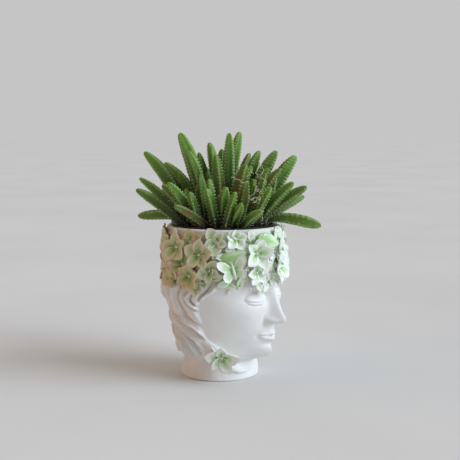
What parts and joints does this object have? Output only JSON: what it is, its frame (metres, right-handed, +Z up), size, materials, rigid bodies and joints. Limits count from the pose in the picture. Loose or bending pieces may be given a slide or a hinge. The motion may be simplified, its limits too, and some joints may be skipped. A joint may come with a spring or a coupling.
{
  "type": "head planter",
  "caption": "Cast head with an open crown and a wreath of applied flowers, holding a lift-out nursery pot with a clump of finger-stemmed succulent.",
  "frame": {"origin": "centre of the foot ring, on the surface that the planter stands on", "axes": "+Z up, the face looks along -Y, the head's right side with the tied bunch of hair is towards -X"},
  "size_m": [0.1549, 0.1792, 0.2373],
  "materials": {
    "cast_body": "matte white cast resin",
    "flower_glaze": "pale green wash on white, matte",
    "leaf_glaze": "green wash on white, matte",
    "butterfly_glaze": "pale green wash on white, matte",
    "plug_rubber": "soft moulded rubber",
    "nursery_plastic": "thin black blow-moulded plastic",
    "growing_medium": "damp peat and bark",
    "stem_flesh": "waxy succulent skin"
  },
  "bodies": {
    "planter": {"butterfly": "butterfly_glaze", "head_shell": "cast_body", "neck_flower": "flower_glaze", "wreath_flower_01": "flower_glaze", "wreath_flower_02": "flower_glaze", "wreath_flower_03": "flower_glaze", "wreath_flower_04": "flower_glaze", "wreath_flower_05": "flower_glaze", "wreath_flower_06": "flower_glaze", "wreath_flower_07": "flower_glaze", "wreath_flower_08": "flower_glaze", "wreath_flower_09": "flower_glaze", "wreath_flower_10": "flower_glaze", "wreath_flower_11": "flower_glaze", "wreath_flower_12": "flower_glaze", "wreath_flower_13": "flower_glaze", "wreath_flower_14": "flower_glaze", "wreath_flower_15": "flower_glaze", "wreath_flower_16": "flower_glaze", "wreath_flower_17": "flower_glaze", "wreath_flower_18": "flower_glaze", "wreath_flower_19": "flower_glaze", "wreath_flower_20": "flower_glaze", "wreath_flower_21": "flower_glaze", "wreath_flower_22": "flower_glaze", "wreath_flower_23": "flower_glaze", "wreath_flower_24": "flower_glaze", "wreath_flower_25": "flower_glaze", "wreath_flower_26": "flower_glaze", "wreath_flower_27": "flower_glaze", "wreath_flower_28": "flower_glaze", "wreath_flower_29": "flower_glaze", "wreath_flower_30": "flower_glaze", "wreath_flower_31": "flower_glaze", "wreath_flower_32": "flower_glaze", "wreath_foliage": "leaf_glaze", "wreath_leaf_01": "leaf_glaze", "wreath_leaf_02": "leaf_glaze"},
    "grow_pot": {"growing_medium": "growing_medium", "nursery_pot": "nursery_plastic", "stem_01": "stem_flesh", "stem_03": "stem_flesh", "stem_10": "stem_flesh", "stem_12": "stem_flesh", "stem_13": "stem_flesh", "stem_14": "stem_flesh", "stem_21": "stem_flesh", "stem_22": "stem_flesh", "stem_23": "stem_flesh", "stem_31": "stem_flesh", "stem_35": "stem_flesh", "stem_40": "stem_flesh", "stem_42": "stem_flesh", "stem_43": "stem_flesh", "young_stems_inner": "stem_flesh", "young_stems_outer": "stem_flesh"},
    "drain_plug": {"drain_plug": "plug_rubber"}
  },
  "joints": [
    {"name": "grow_pot_lift", "type": "slide", "parent": "planter", "child": "grow_pot", "axis": [0, 0, 1], "range_m": [0, 0.09]},
    {"name": "drain_plug_pull", "type": "slide", "parent": "planter", "child": "drain_plug", "axis": [0, 0, -1], "range_m": [0, 0.02]}
  ]
}
